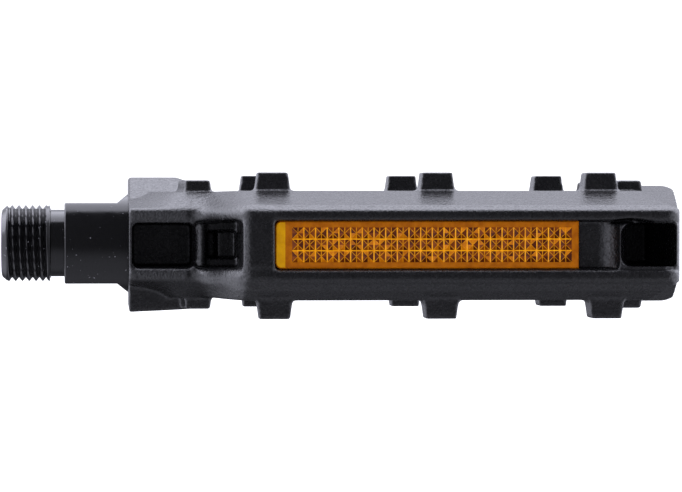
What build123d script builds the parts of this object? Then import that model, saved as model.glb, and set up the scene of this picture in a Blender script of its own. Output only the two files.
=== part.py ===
from build123d import *
import math
import os

# A resin platform pedal for a bicycle, right-hand side.
# Millimetres. The origin is the centre of the spindle shoulder that seats on the crank arm,
# +X runs outboard along the spindle, -Y is the front rail and +Z is up.
# The platform is the same after half a turn about the spindle, so only its front half is drawn.

# ------------------------------------------------------------------ driving dimensions

# crank end of the spindle: a 9/16 inch thread with 20 turns to the inch
THREAD_R = 7.144
THREAD_PITCH = 1.27
THREAD_DEPTH = 0.69
THREAD_ROOT_FLAT = 0.3
THREAD_FLANK_ANGLE = 30.0
THREAD_TIP_X = -11.8
THREAD_END_X = -2.8
THREAD_CHAMFER = 0.8
THREAD_GROOVES = 6
NECK_R = 6.28
NECK_SLOPE = 0.3
COLLAR_R = 9.3
COLLAR_CHAMFER = 0.4
COLLAR_END_X = 12.4
FLATS_ACROSS = 15.1
FLATS_END_X = 9.8
FLATS_RUNOUT_X = 11.9
CENTRE_HOLE_R = 1.4
CENTRE_HOLE_DEPTH = 1.8

# rest of the spindle
SHOULDER_R = 7.4
SHAFT_TAPER_X = (60.0, 88.0)
SHAFT_END_R = 4.1
SHAFT_END_X = 99.9
STEM_R = 3.0
STEM_END_X = 111.0
STEM_CHAMFER = 0.4
KEYWAY_WIDTH = 1.4
KEYWAY_FLOOR_Z = 2.3

# ball bearings: 5/32 inch balls at the crank end and 1/8 inch balls at the outer end
RACE_CLEARANCE = 0.07
SEAT_CLEARANCE = 0.05
BALL_COUNT = 8
INNER_BALL_R = 3.969 / 2
INNER_BALL_X = 17.0
INNER_BALL_CIRCLE_R = 6.7
OUTER_BALL_R = 3.175 / 2
OUTER_BALL_X = 101.9
OUTER_BALL_CIRCLE_R = 5.4
INNER_CUP_R = 9.6
INNER_CUP_X = (14.2, 20.6)
INNER_CUP_LIP_R = 5.5
OUTER_CUP_R = 8.0
OUTER_CUP_X = (98.4, 103.6)
OUTER_CUP_LIP_R = 4.7
POCKET_CLEARANCE = 0.1
INNER_CAGE_X = (14.55, 17.3)
INNER_CAGE_R = (7.75, 8.4)
OUTER_CAGE_X = (101.6, 104.2)
OUTER_CAGE_R = (6.2, 6.72)

# seal, shield and the parts on the spindle's outer end
SEAL_X = (12.75, 13.7)
SEAL_BORE_R = 7.65
SHIELD_BORE_R = 7.75
CONE_X = (100.3, 106.2)
CONE_R = 5.8
WASHER_THICKNESS = 1.0
WASHER_R = 5.3
TONGUE_WIDTH = 1.2
NUT_ACROSS = 10.0
NUT_LENGTH = 3.2
NUT_SIDES = 6
CAP_X = (109.9, 113.0)
CAP_FACE = 1.4
CAP_SKIRT_BORE_R = 6.4
CAP_GROOVE_X = (110.3, 111.3)
CAP_GROOVE_R = 6.9
RING_CORD_R = 0.48
COIN_SLOT = (9.0, 1.6, 0.6)

# platform outline
BODY_INNER_X = 11.9
BODY_OUTER_X = 114.0
END_BULGE_X = 112.1
HALF_WIDTH = 47.0
END_CORNER_X = 108.6
CORNER_R = 2.5
# the arm's half width at the block round the inner bearing and where it starts to sweep out
ARM_HALF_WIDTHS = (28.5, 32.0)
ARM_SWEEP_X = (23.5, 33.0)
LIP_TOP_Z = 6.5
RAIL_TOP_Z = 9.7
ARM_TOP_Z = 9.5
SHALLOW_RIDGE_Y = 36.0
STEEP_RIDGE_Y = 42.5
STUD_RIDGE_Y = 26.5
RIDGE_ROOT_Y = 13.0
STATION_STEP = 1.0
HUB_TOP_RIDGE_Y = 11.0
HUB_BOTTOM_RIDGE_Y = 22.6
HUB_FOOT = (23.4, 6.4)
# the block round the inner bearing, as (x, top z, bottom z)
HUB_STATIONS = (
    (BODY_INNER_X, 12.25, 12.3),
    (20.7, 12.25, 11.9),
    (22.2, 11.75, 11.8),
    (25.2, 11.6, 11.6),
)
END_BEVEL = ((103.8, 9.7), (109.2, 6.2))

# barrel round the spindle, and the crowned block round the outer bearing
BARREL_R = 9.6
BARREL_BORE_R = 6.2
CROWN_START_X = 100.5
CROWN_TOP_Z = 10.75
CROWN_RIDGE_Y = 12.0
CROWN_FOOT = (31.0, 6.2)
# the crown's rounded shoulder, as the (x, z) that its arc starts at, passes through and ends at
CROWN_SHOULDER = ((111.0, 10.75), (112.9, 10.1), (113.7, 9.0))
CROWN_END = (114.3, 6.2)

# gaps, ribs and hollows of the platform
GAP_X = (31.5, 98.0)
GAP_EDGE_Y = 28.4
GAP_CORNER_R = 5.0
MID_RIB_X = (64.0, 69.2)
MID_RIB_HALF_HEIGHT = 6.5
CORE_HALF_HEIGHT = 5.2
CORE_FLOOR_Y = 40.4
CORE_MARGIN = 4.0
CORE_CORNER_R = 1.5
CHANNEL_Z = (-4.05, 4.4)
CHANNEL_ARM_TOP_Z = 3.9
CHANNEL_ARCH = ((95.2, 3.9), (99.6, 4.8), (104.4, 3.9))
CHANNEL_ARCH_Y = 41.5
WEB_Y = 43.4
RIDGE_Y = 46.2
LEFT_RIDGE_SETBACK = 0.9
# the rib's crest, as the (x, y) that its arc starts at, passes through and ends at
RIB_CREST = ((23.5, -25.4), (24.3, -27.0), (25.6, -27.6))
PLATE_Y = 26.4
PLATE_END_X = 31.5
LEFT_RIDGE_X = 31.8
SADDLE_X = (35.2, 93.9)
RIGHT_RIDGE_X = 98.1
ARM_POCKET_X = (12.5, 23.5)
ARM_POCKET_FLOOR_Y = 12.6
ARM_POCKET_Z = (-4.1, 3.9)
POCKET_CORNER_R = 1.0
SLOT_X = (25.85, 31.2)
SLOT_DEEP_X = 27.85
SLOT_Z = (-2.5, 2.5)
SLOT_STEP_DEPTH = 2.2
SLOT_DEPTH = 8.0
END_POCKET_X = (98.2, 108.2)
END_POCKET_THROAT_X = 100.1
END_POCKET_THROAT_Y = 40.5
END_POCKET_FLOOR_Y = 14.0
END_POCKET_Z = (-3.7, 3.9)
END_POCKET_CORNER_R = 1.7

# studs moulded on both faces
STUD_TIP_Z = 12.98
STUD_WIDTH = 5.4
STUD_DEPTH = 6.0
STUD_TAPER = 7.8
STUD_ROOT_Z = 9.2
STUD_START_X = 37.45
STUD_PITCH = 29.45
STUDS_PER_RAIL = 3
STUD_FRONT_TOP_Y = 35.3
STUD_FRONT_BOTTOM_Y = 42.5
SMALL_STUD_TIP_Z = 11.65
SMALL_STUD_WIDTH = 4.35
SMALL_STUD_XS = (24.35, 103.0)
SMALL_STUD_FRONT_Y = 25.9
SMALL_STUD_SLANT = 1.25
SMALL_STUD_ROOT_Z = 9.0

# reflectors
LENS_X = (37.35, 90.85)
LENS_Z = (-3.98, 4.33)
LENS_FRONT_Y = 46.2
LENS_BACK_Y = 44.2
LENS_CORNER_R = 1.0
LENS_EDGE = 0.25
BACKING_MARGIN = 0.2
BACKING_BACK_Y = 43.0
LENS_SEAT_CLEARANCE = 0.1
SCREW_INSET = 9.0
SCREW_POST_R = 2.0
SCREW_POST_HOLE_R = 2.15
SCREW_POST_END_Y = 40.6
SCREW_SHANK_R = 1.0
SCREW_TIP_Y = 43.4
SCREW_HEAD_R = 2.8
SCREW_HEAD_HEIGHT = 1.4
SCREW_SLOT = (3.4, 0.7, 0.6)

# values worked out from the driving dimensions
OUTSIDE = 60.0
FAR_X = 2 * OUTSIDE
OVERLAP = 1.0
flat_half = FLATS_ACROSS / 2
inner_race_r = INNER_BALL_R + RACE_CLEARANCE
outer_race_r = OUTER_BALL_R + RACE_CLEARANCE
shaft_r = INNER_BALL_CIRCLE_R - inner_race_r
inner_bore_r = INNER_CUP_R + SEAT_CLEARANCE
outer_bore_r = OUTER_CUP_R + SEAT_CLEARANCE
stem_bore_r = STEM_R + SEAT_CLEARANCE
washer_x = (CONE_X[1], CONE_X[1] + WASHER_THICKNESS)
nut_x = (washer_x[1], washer_x[1] + NUT_LENGTH)
stud_xs = [STUD_START_X + index * STUD_PITCH for index in range(STUDS_PER_RAIL)]
screw_xs = (LENS_X[0] + SCREW_INSET, LENS_X[1] - SCREW_INSET)


# ------------------------------------------------------------------ shared shapes

def middle(span):
    return (span[0] + span[1]) / 2


def length(span):
    return span[1] - span[0]


def ease(x, start_x, end_x, start_value, end_value):
    """A smooth step from one value to another as x passes from start_x to end_x."""
    share = min(max((x - start_x) / (end_x - start_x), 0.0), 1.0)
    return start_value + (end_value - start_value) * share * share * (3 - 2 * share)


def front_edge(x):
    """Distance of the front face from the spindle: the arm widens, then sweeps out to the rail."""
    if x < ARM_SWEEP_X[0]:
        share = (x - BODY_INNER_X) / (ARM_SWEEP_X[0] - BODY_INNER_X)
        return ARM_HALF_WIDTHS[0] + length(ARM_HALF_WIDTHS) * share
    return ease(x, *ARM_SWEEP_X, ARM_HALF_WIDTHS[1], HALF_WIDTH)


def ridge(x, rail_ridge_y):
    """Distance of a bevel's upper edge from the spindle."""
    if x < SMALL_STUD_XS[0]:
        return ease(x, BODY_INNER_X, SMALL_STUD_XS[0] - SMALL_STUD_WIDTH / 2, RIDGE_ROOT_Y, STUD_RIDGE_Y)
    return ease(x, SMALL_STUD_XS[0], ARM_SWEEP_X[1], STUD_RIDGE_Y, rail_ridge_y)


def rail_section(x):
    """Corners of the platform's front half where it is cut across at x, as (y, z)."""
    top_z = ease(x, *ARM_SWEEP_X, ARM_TOP_Z, RAIL_TOP_Z)
    return [
        (0, top_z),
        (-ridge(x, SHALLOW_RIDGE_Y), top_z),
        (-front_edge(x), LIP_TOP_Z),
        (-front_edge(x), -LIP_TOP_Z),
        (-ridge(x, STEEP_RIDGE_Y), -top_z),
        (0, -top_z),
    ]


def block_section(top, bottom, foot):
    """Corners of the front half of a block with sloping sides, as (y, z).

    Top and bottom are each (distance of the ridge from the spindle, height or depth there).
    """
    return [
        (0, top[1]),
        (-top[0], top[1]),
        (-foot[0], foot[1]),
        (-foot[0], -foot[1]),
        (-bottom[0], -bottom[1]),
        (0, -bottom[1]),
    ]


def small_stud_outline(x):
    """Tip of a small stud seen from above. The inner one's inboard side runs at a slant into the block."""
    inner_x = x - SMALL_STUD_WIDTH / 2
    outer_x = x + SMALL_STUD_WIDTH / 2
    slant = SMALL_STUD_SLANT if x == SMALL_STUD_XS[0] else 0
    back_y = STUD_DEPTH - SMALL_STUD_FRONT_Y
    return [
        (inner_x, -SMALL_STUD_FRONT_Y),
        (outer_x, -SMALL_STUD_FRONT_Y),
        (outer_x, back_y),
        (inner_x - slant, back_y),
    ]


def race_point(ball_x, circle_r, race_r, degrees):
    """A point of a ball race in the axial section, as (x, radius)."""
    angle = math.radians(degrees)
    return (ball_x + race_r * math.cos(angle), circle_r + race_r * math.sin(angle))


def inner_race(degrees):
    return race_point(INNER_BALL_X, INNER_BALL_CIRCLE_R, inner_race_r, degrees)


def outer_race(degrees):
    return race_point(OUTER_BALL_X, OUTER_BALL_CIRCLE_R, outer_race_r, degrees)


def thread_outline():
    """Axial section of the crank thread, drawn as a run of ring grooves."""
    half_top = THREAD_DEPTH * math.tan(math.radians(THREAD_FLANK_ANGLE)) + THREAD_ROOT_FLAT / 2
    land = (THREAD_END_X - THREAD_TIP_X - THREAD_CHAMFER - THREAD_GROOVES * THREAD_PITCH) / 2
    first_groove_x = THREAD_TIP_X + THREAD_CHAMFER + land + THREAD_PITCH / 2
    root_r = THREAD_R - THREAD_DEPTH
    points = [(THREAD_TIP_X, THREAD_R - THREAD_CHAMFER), (THREAD_TIP_X + THREAD_CHAMFER, THREAD_R)]
    for index in range(THREAD_GROOVES):
        groove_x = first_groove_x + index * THREAD_PITCH
        points.append((groove_x - half_top, THREAD_R))
        points.append((groove_x - THREAD_ROOT_FLAT / 2, root_r))
        points.append((groove_x + THREAD_ROOT_FLAT / 2, root_r))
        points.append((groove_x + half_top, THREAD_R))
    points.append((THREAD_END_X, THREAD_R))
    return points


os.makedirs("parts", exist_ok=True)


# ------------------------------------------------------------------ spindle

with BuildPart() as spindle:
    with BuildSketch(Plane.XZ):
        with BuildLine():
            Polyline(
                (THREAD_TIP_X + CENTRE_HOLE_DEPTH, 0),
                (THREAD_TIP_X, CENTRE_HOLE_R),
                *thread_outline(),
                (THREAD_END_X + NECK_SLOPE, NECK_R),
                (0, NECK_R),
                (0, COLLAR_R - COLLAR_CHAMFER),
                (COLLAR_CHAMFER, COLLAR_R),
                (COLLAR_END_X, COLLAR_R),
                (COLLAR_END_X, SHOULDER_R),
                (inner_race(180)[0], SHOULDER_R),
                inner_race(180),
            )
            ThreePointArc(inner_race(180), inner_race(225), inner_race(270))
            Polyline(
                inner_race(270),
                (SHAFT_TAPER_X[0], shaft_r),
                (SHAFT_TAPER_X[1], SHAFT_END_R),
                (SHAFT_END_X, SHAFT_END_R),
                (SHAFT_END_X, STEM_R),
                (STEM_END_X - STEM_CHAMFER, STEM_R),
                (STEM_END_X, STEM_R - STEM_CHAMFER),
                (STEM_END_X, 0),
                (THREAD_TIP_X + CENTRE_HOLE_DEPTH, 0),
            )
        make_face()
    revolve(axis=Axis.X)
    # the two spanner flats, with the cutter's run-out sloping up to the full round
    with BuildSketch(Plane.XZ) as flats:
        with BuildLine():
            Polyline(
                (0, flat_half),
                (FLATS_END_X, flat_half),
                (FLATS_RUNOUT_X, COLLAR_R),
                (FLATS_RUNOUT_X, COLLAR_R + OVERLAP),
                (0, COLLAR_R + OVERLAP),
                close=True,
            )
        make_face()
        mirror(about=Plane.XZ)
    extrude(amount=COLLAR_R, both=True, mode=Mode.SUBTRACT)
    # keyway for the lock washer
    with BuildSketch(Plane.XY.offset(KEYWAY_FLOOR_Z)):
        with Locations(((SHAFT_END_X + STEM_END_X) / 2, 0)):
            Rectangle(STEM_END_X - SHAFT_END_X, KEYWAY_WIDTH)
    extrude(amount=STEM_R, mode=Mode.SUBTRACT)

spindle.part.label = "spindle"
export_step(spindle.part, "parts/spindle.step")


# ------------------------------------------------------------------ bearings

with BuildPart() as inner_bearing_cup:
    with BuildSketch(Plane.XZ):
        with BuildLine():
            Polyline(
                inner_race(90),
                (INNER_CUP_X[0], inner_race(90)[1]),
                (INNER_CUP_X[0], INNER_CUP_R),
                (INNER_CUP_X[1], INNER_CUP_R),
                (INNER_CUP_X[1], INNER_CUP_LIP_R),
                (inner_race(0)[0], INNER_CUP_LIP_R),
                inner_race(0),
            )
            ThreePointArc(inner_race(0), inner_race(45), inner_race(90))
        make_face()
    revolve(axis=Axis.X)

inner_bearing_cup.part.label = "inner_bearing_cup"
export_step(inner_bearing_cup.part, "parts/inner_bearing_cup.step")

with BuildPart() as outer_bearing_cup:
    with BuildSketch(Plane.XZ):
        with BuildLine():
            Polyline(
                outer_race(90),
                (OUTER_CUP_X[1], outer_race(90)[1]),
                (OUTER_CUP_X[1], OUTER_CUP_R),
                (OUTER_CUP_X[0], OUTER_CUP_R),
                (OUTER_CUP_X[0], OUTER_CUP_LIP_R),
                (outer_race(180)[0], OUTER_CUP_LIP_R),
                outer_race(180),
            )
            ThreePointArc(outer_race(180), outer_race(135), outer_race(90))
        make_face()
    revolve(axis=Axis.X)

outer_bearing_cup.part.label = "outer_bearing_cup"
export_step(outer_bearing_cup.part, "parts/outer_bearing_cup.step")

with BuildPart() as inner_balls:
    with Locations(Plane.YZ.offset(INNER_BALL_X)):
        with PolarLocations(INNER_BALL_CIRCLE_R, BALL_COUNT):
            Sphere(INNER_BALL_R)

inner_balls.part.label = "inner_balls"
export_step(inner_balls.part, "parts/inner_balls.step")

with BuildPart() as outer_balls:
    with Locations(Plane.YZ.offset(OUTER_BALL_X)):
        with PolarLocations(OUTER_BALL_CIRCLE_R, BALL_COUNT):
            Sphere(OUTER_BALL_R)

outer_balls.part.label = "outer_balls"
export_step(outer_balls.part, "parts/outer_balls.step")

with BuildPart() as inner_ball_cage:
    with BuildSketch(Plane.YZ.offset(INNER_CAGE_X[0])):
        Circle(INNER_CAGE_R[1])
        Circle(INNER_CAGE_R[0], mode=Mode.SUBTRACT)
    extrude(amount=INNER_CAGE_X[1] - INNER_CAGE_X[0])
    with Locations(Plane.YZ.offset(INNER_BALL_X)):
        with PolarLocations(INNER_BALL_CIRCLE_R, BALL_COUNT):
            Sphere(INNER_BALL_R + POCKET_CLEARANCE, mode=Mode.SUBTRACT)

inner_ball_cage.part.label = "inner_ball_cage"
export_step(inner_ball_cage.part, "parts/inner_ball_cage.step")

with BuildPart() as outer_ball_cage:
    with BuildSketch(Plane.YZ.offset(OUTER_CAGE_X[0])):
        Circle(OUTER_CAGE_R[1])
        Circle(OUTER_CAGE_R[0], mode=Mode.SUBTRACT)
    extrude(amount=OUTER_CAGE_X[1] - OUTER_CAGE_X[0])
    with Locations(Plane.YZ.offset(OUTER_BALL_X)):
        with PolarLocations(OUTER_BALL_CIRCLE_R, BALL_COUNT):
            Sphere(OUTER_BALL_R + POCKET_CLEARANCE, mode=Mode.SUBTRACT)

outer_ball_cage.part.label = "outer_ball_cage"
export_step(outer_ball_cage.part, "parts/outer_ball_cage.step")


# ------------------------------------------------------------------ seal and outer end

with BuildPart() as inner_dust_seal:
    with BuildSketch(Plane.YZ.offset(SEAL_X[0])):
        Circle(INNER_CUP_R)
        Circle(SEAL_BORE_R, mode=Mode.SUBTRACT)
    extrude(amount=SEAL_X[1] - SEAL_X[0])

inner_dust_seal.part.label = "inner_dust_seal"
export_step(inner_dust_seal.part, "parts/inner_dust_seal.step")

with BuildPart() as seal_shield:
    with BuildSketch(Plane.YZ.offset(SEAL_X[1])):
        Circle(INNER_CUP_R)
        Circle(SHIELD_BORE_R, mode=Mode.SUBTRACT)
    extrude(amount=INNER_CUP_X[0] - SEAL_X[1])

seal_shield.part.label = "seal_shield"
export_step(seal_shield.part, "parts/seal_shield.step")

with BuildPart() as adjusting_cone:
    with BuildSketch(Plane.XZ):
        with BuildLine():
            Polyline(
                outer_race(270),
                (CONE_X[0], outer_race(270)[1]),
                (CONE_X[0], stem_bore_r),
                (CONE_X[1], stem_bore_r),
                (CONE_X[1], CONE_R),
                (outer_race(0)[0], CONE_R),
                outer_race(0),
            )
            ThreePointArc(outer_race(0), outer_race(315), outer_race(270))
        make_face()
    revolve(axis=Axis.X)

adjusting_cone.part.label = "adjusting_cone"
export_step(adjusting_cone.part, "parts/adjusting_cone.step")

with BuildPart() as lock_washer:
    with BuildSketch(Plane.YZ.offset(washer_x[0])):
        Circle(WASHER_R)
        Circle(stem_bore_r, mode=Mode.SUBTRACT)
        with Locations((0, (KEYWAY_FLOOR_Z + SEAT_CLEARANCE + WASHER_R) / 2)):
            Rectangle(TONGUE_WIDTH, WASHER_R - KEYWAY_FLOOR_Z - SEAT_CLEARANCE)
        Circle(WASHER_R, mode=Mode.INTERSECT)
    extrude(amount=WASHER_THICKNESS)

lock_washer.part.label = "lock_washer"
export_step(lock_washer.part, "parts/lock_washer.step")

with BuildPart() as lock_nut:
    with BuildSketch(Plane.YZ.offset(nut_x[0])):
        RegularPolygon(NUT_ACROSS / 2, NUT_SIDES, major_radius=False)
        Circle(stem_bore_r, mode=Mode.SUBTRACT)
    extrude(amount=NUT_LENGTH)

lock_nut.part.label = "lock_nut"
export_step(lock_nut.part, "parts/lock_nut.step")

with BuildPart() as dust_cap:
    with BuildSketch(Plane.XZ):
        with BuildLine():
            Polyline(
                (CAP_X[1], 0),
                (CAP_X[1], OUTER_CUP_R - LENS_EDGE),
                (CAP_X[1] - LENS_EDGE, OUTER_CUP_R),
                (CAP_GROOVE_X[1], OUTER_CUP_R),
                (CAP_GROOVE_X[1], CAP_GROOVE_R),
                (CAP_GROOVE_X[0], CAP_GROOVE_R),
                (CAP_GROOVE_X[0], OUTER_CUP_R),
                (CAP_X[0], OUTER_CUP_R),
                (CAP_X[0], CAP_SKIRT_BORE_R),
                (CAP_X[1] - CAP_FACE, CAP_SKIRT_BORE_R),
                (CAP_X[1] - CAP_FACE, 0),
                close=True,
            )
        make_face()
    revolve(axis=Axis.X)
    # coin slot across the outer face
    with BuildSketch(Plane.YZ.offset(CAP_X[1])):
        SlotOverall(COIN_SLOT[0], COIN_SLOT[1])
    extrude(amount=-COIN_SLOT[2], mode=Mode.SUBTRACT)

dust_cap.part.label = "dust_cap"
export_step(dust_cap.part, "parts/dust_cap.step")

with BuildPart() as cap_o_ring:
    with BuildSketch(Plane.XZ):
        with Locations((middle(CAP_GROOVE_X), (CAP_GROOVE_R + OUTER_CUP_R) / 2)):
            Circle(RING_CORD_R)
    revolve(axis=Axis.X)

cap_o_ring.part.label = "cap_o_ring"
export_step(cap_o_ring.part, "parts/cap_o_ring.step")


# ------------------------------------------------------------------ platform

with BuildPart() as front_channel:
    # seen from above: rib, plate beside the slot, end of the rail, saddle, web, saddle, ridge
    left_ridge = (LEFT_RIDGE_X, LEFT_RIDGE_SETBACK - front_edge(LEFT_RIDGE_X))
    channel_start_x = RIB_CREST[0][0]
    rib_end_x = RIB_CREST[2][0]
    with BuildSketch(Plane.XY.offset(-OUTSIDE)):
        with BuildLine():
            Line((channel_start_x, -OUTSIDE), RIB_CREST[0])
            ThreePointArc(*RIB_CREST)
            Polyline(RIB_CREST[2], (rib_end_x, -PLATE_Y), (PLATE_END_X, -PLATE_Y), left_ridge)
            TangentArc(left_ridge, (SADDLE_X[0], -WEB_Y), tangent=(1, 0), tangent_from_first=False)
            Line((SADDLE_X[0], -WEB_Y), (SADDLE_X[1], -WEB_Y))
            TangentArc((SADDLE_X[1], -WEB_Y), (RIGHT_RIDGE_X, -RIDGE_Y), tangent=(1, 0))
            Polyline((RIGHT_RIDGE_X, -RIDGE_Y), (RIGHT_RIDGE_X, -OUTSIDE), (channel_start_x, -OUTSIDE))
        make_face()
    extrude(amount=2 * OUTSIDE)
    # seen from the front: the ceiling rises from the arm to the rail
    with BuildSketch(Plane.XZ):
        with BuildLine():
            Spline(
                (channel_start_x, CHANNEL_ARM_TOP_Z),
                (LEFT_RIDGE_X, CHANNEL_Z[1]),
                tangents=((1, 0), (1, 0)),
            )
            Polyline(
                (LEFT_RIDGE_X, CHANNEL_Z[1]),
                (RIGHT_RIDGE_X, CHANNEL_Z[1]),
                (RIGHT_RIDGE_X, CHANNEL_Z[0]),
                (channel_start_x, CHANNEL_Z[0]),
                (channel_start_x, CHANNEL_ARM_TOP_Z),
            )
        make_face()
    extrude(amount=OUTSIDE, mode=Mode.INTERSECT)

with BuildPart() as front_half:
    # arm and rail, as sections across the pedal joined along it
    station = BODY_INNER_X
    stations = [BODY_INNER_X]
    while station < ARM_SWEEP_X[1] - STATION_STEP:
        station += STATION_STEP
        stations.append(station)
    stations += [ARM_SWEEP_X[1], BODY_OUTER_X + OVERLAP]
    for station in stations:
        with BuildSketch(Plane.YZ.offset(station)):
            with BuildLine():
                Polyline(*rail_section(station), close=True)
            make_face()
    loft(ruled=True)
    # bevels along the outer end, above and below
    with BuildSketch(Plane.XZ):
        with BuildLine():
            Polyline(
                *END_BEVEL,
                (FAR_X, END_BEVEL[1][1]),
                (FAR_X, OUTSIDE),
                (END_BEVEL[0][0], OUTSIDE),
                close=True,
            )
        make_face()
        mirror(about=Plane.XZ)
    extrude(amount=OUTSIDE, mode=Mode.SUBTRACT)
    # crowned block round the outer bearing
    crown_ridge = (CROWN_RIDGE_Y, CROWN_TOP_Z)
    with BuildSketch(Plane.YZ.offset(CROWN_START_X)):
        with BuildLine():
            Polyline(*block_section(crown_ridge, crown_ridge, CROWN_FOOT), close=True)
        make_face()
    extrude(amount=OUTSIDE)
    # the crowned block's rounded shoulders
    with BuildSketch(Plane.XZ):
        with BuildLine():
            ThreePointArc(*CROWN_SHOULDER)
            Polyline(
                CROWN_SHOULDER[2],
                CROWN_END,
                (FAR_X, CROWN_END[1]),
                (FAR_X, OUTSIDE),
                (CROWN_SHOULDER[0][0], OUTSIDE),
                CROWN_SHOULDER[0],
            )
        make_face()
        mirror(about=Plane.XZ)
    extrude(amount=OUTSIDE, mode=Mode.SUBTRACT)
    # rounded outer end, as the platform is seen from above
    with BuildSketch(Plane.XY.offset(-OUTSIDE)):
        with BuildLine():
            Polyline((BODY_OUTER_X, 0), (0, 0), (0, -HALF_WIDTH), (END_CORNER_X, -HALF_WIDTH))
            ThreePointArc((END_CORNER_X, -HALF_WIDTH), (END_BULGE_X, -HALF_WIDTH / 2), (BODY_OUTER_X, 0))
        make_face()
        outline = vertices().group_by(Axis.Y)[0].sort_by(Axis.X)
        fillet(outline[-1], CORNER_R)
    extrude(amount=2 * OUTSIDE, mode=Mode.INTERSECT)
    # opening between the barrel and the rail
    with BuildSketch(Plane.XY.offset(-OUTSIDE)):
        with Locations((middle(GAP_X), 0)):
            RectangleRounded(length(GAP_X), 2 * GAP_EDGE_Y, GAP_CORNER_R)
    extrude(amount=2 * OUTSIDE, mode=Mode.SUBTRACT)
    # cross rib in the middle of the opening
    with BuildSketch(Plane.XZ):
        with Locations((middle(MID_RIB_X), 0)):
            Rectangle(length(MID_RIB_X), 2 * MID_RIB_HALF_HEIGHT)
    extrude(amount=GAP_EDGE_Y + OVERLAP)
    # block round the inner bearing
    for station, top_z, bottom_z in HUB_STATIONS:
        top_ridge = (HUB_TOP_RIDGE_Y, top_z)
        bottom_ridge = (HUB_BOTTOM_RIDGE_Y, bottom_z)
        with BuildSketch(Plane.YZ.offset(station)):
            with BuildLine():
                Polyline(*block_section(top_ridge, bottom_ridge, HUB_FOOT), close=True)
            make_face()
    loft(ruled=True)
    # studs on top of the rail, then below it
    for side, front_y in ((1, STUD_FRONT_TOP_Y), (-1, STUD_FRONT_BOTTOM_Y)):
        with BuildSketch(Plane.XY.offset(side * STUD_TIP_Z)):
            with Locations(*[(x, -front_y + STUD_DEPTH / 2) for x in stud_xs]):
                Rectangle(STUD_WIDTH, STUD_DEPTH)
        extrude(amount=-side * (STUD_TIP_Z - STUD_ROOT_Z), taper=-STUD_TAPER)
        with BuildSketch(Plane.XY.offset(side * SMALL_STUD_TIP_Z)):
            for x in SMALL_STUD_XS:
                with BuildLine():
                    Polyline(*small_stud_outline(x), close=True)
                make_face()
        extrude(amount=-side * (SMALL_STUD_TIP_Z - SMALL_STUD_ROOT_Z), taper=-STUD_TAPER)
    # channel along the front, and where its ceiling arches up towards the pocket at the end
    add(front_channel.part, mode=Mode.SUBTRACT)
    with BuildSketch(Plane.XZ.offset(CHANNEL_ARCH_Y)):
        with BuildLine():
            ThreePointArc(*CHANNEL_ARCH)
            Line(CHANNEL_ARCH[2], CHANNEL_ARCH[0])
        make_face()
    extrude(amount=OUTSIDE, mode=Mode.SUBTRACT)
    # seat for the reflector, with two holes for its screw posts
    with BuildSketch(Plane.XZ.offset(BACKING_BACK_Y - SEAT_CLEARANCE)):
        with Locations((middle(LENS_X), middle(CHANNEL_Z))):
            Rectangle(length(LENS_X) + 2 * LENS_SEAT_CLEARANCE, length(CHANNEL_Z))
    extrude(amount=OUTSIDE, mode=Mode.SUBTRACT)
    with BuildSketch(Plane.XZ.offset(CORE_FLOOR_Y - OVERLAP)):
        with Locations(*[(x, 0) for x in screw_xs]):
            Circle(SCREW_POST_HOLE_R)
    extrude(amount=OUTSIDE, mode=Mode.SUBTRACT)
    # pocket in the arm
    with BuildSketch(Plane.XZ.offset(ARM_POCKET_FLOOR_Y)):
        with Locations((middle(ARM_POCKET_X), middle(ARM_POCKET_Z))):
            RectangleRounded(length(ARM_POCKET_X), length(ARM_POCKET_Z), POCKET_CORNER_R)
    extrude(amount=OUTSIDE, mode=Mode.SUBTRACT)
    # slot beside the rib: deep at its inner end and stepped at its outer end
    for slot_end_x, depth in ((SLOT_X[1], SLOT_STEP_DEPTH), (SLOT_DEEP_X, SLOT_DEPTH)):
        with BuildSketch(Plane.XZ.offset(PLATE_Y - depth)):
            with Locations(((SLOT_X[0] + slot_end_x) / 2, middle(SLOT_Z))):
                Rectangle(slot_end_x - SLOT_X[0], length(SLOT_Z))
        extrude(amount=OUTSIDE, mode=Mode.SUBTRACT)
    # pocket at the outer end: a flared mouth and a straight throat, rounded on the inboard side
    with BuildSketch(Plane.XZ.offset(END_POCKET_THROAT_Y)) as throat:
        with Locations(((END_POCKET_THROAT_X + END_POCKET_X[1]) / 2, middle(END_POCKET_Z))):
            Rectangle(END_POCKET_X[1] - END_POCKET_THROAT_X, length(END_POCKET_Z))
        fillet(vertices().group_by(Axis.X)[0], END_POCKET_CORNER_R)
    with BuildSketch(Plane.XZ.offset(HALF_WIDTH)):
        with Locations((middle(END_POCKET_X), middle(END_POCKET_Z))):
            Rectangle(length(END_POCKET_X), length(END_POCKET_Z))
        fillet(vertices().group_by(Axis.X)[0], END_POCKET_CORNER_R)
    loft(mode=Mode.SUBTRACT)
    extrude(throat.sketch, amount=END_POCKET_FLOOR_Y - END_POCKET_THROAT_Y, mode=Mode.SUBTRACT)
    # hollows in the back of the rail, either side of the cross rib
    core_spans = (
        (ARM_SWEEP_X[1], MID_RIB_X[0]),
        (MID_RIB_X[1], GAP_X[1] - CORE_MARGIN),
    )
    with BuildSketch(Plane.XZ.offset(GAP_EDGE_Y - OVERLAP)):
        for low_x, high_x in core_spans:
            with Locations(((low_x + high_x) / 2, 0)):
                RectangleRounded(high_x - low_x, 2 * CORE_HALF_HEIGHT, CORE_CORNER_R)
    extrude(amount=CORE_FLOOR_Y - GAP_EDGE_Y + OVERLAP, mode=Mode.SUBTRACT)

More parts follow.
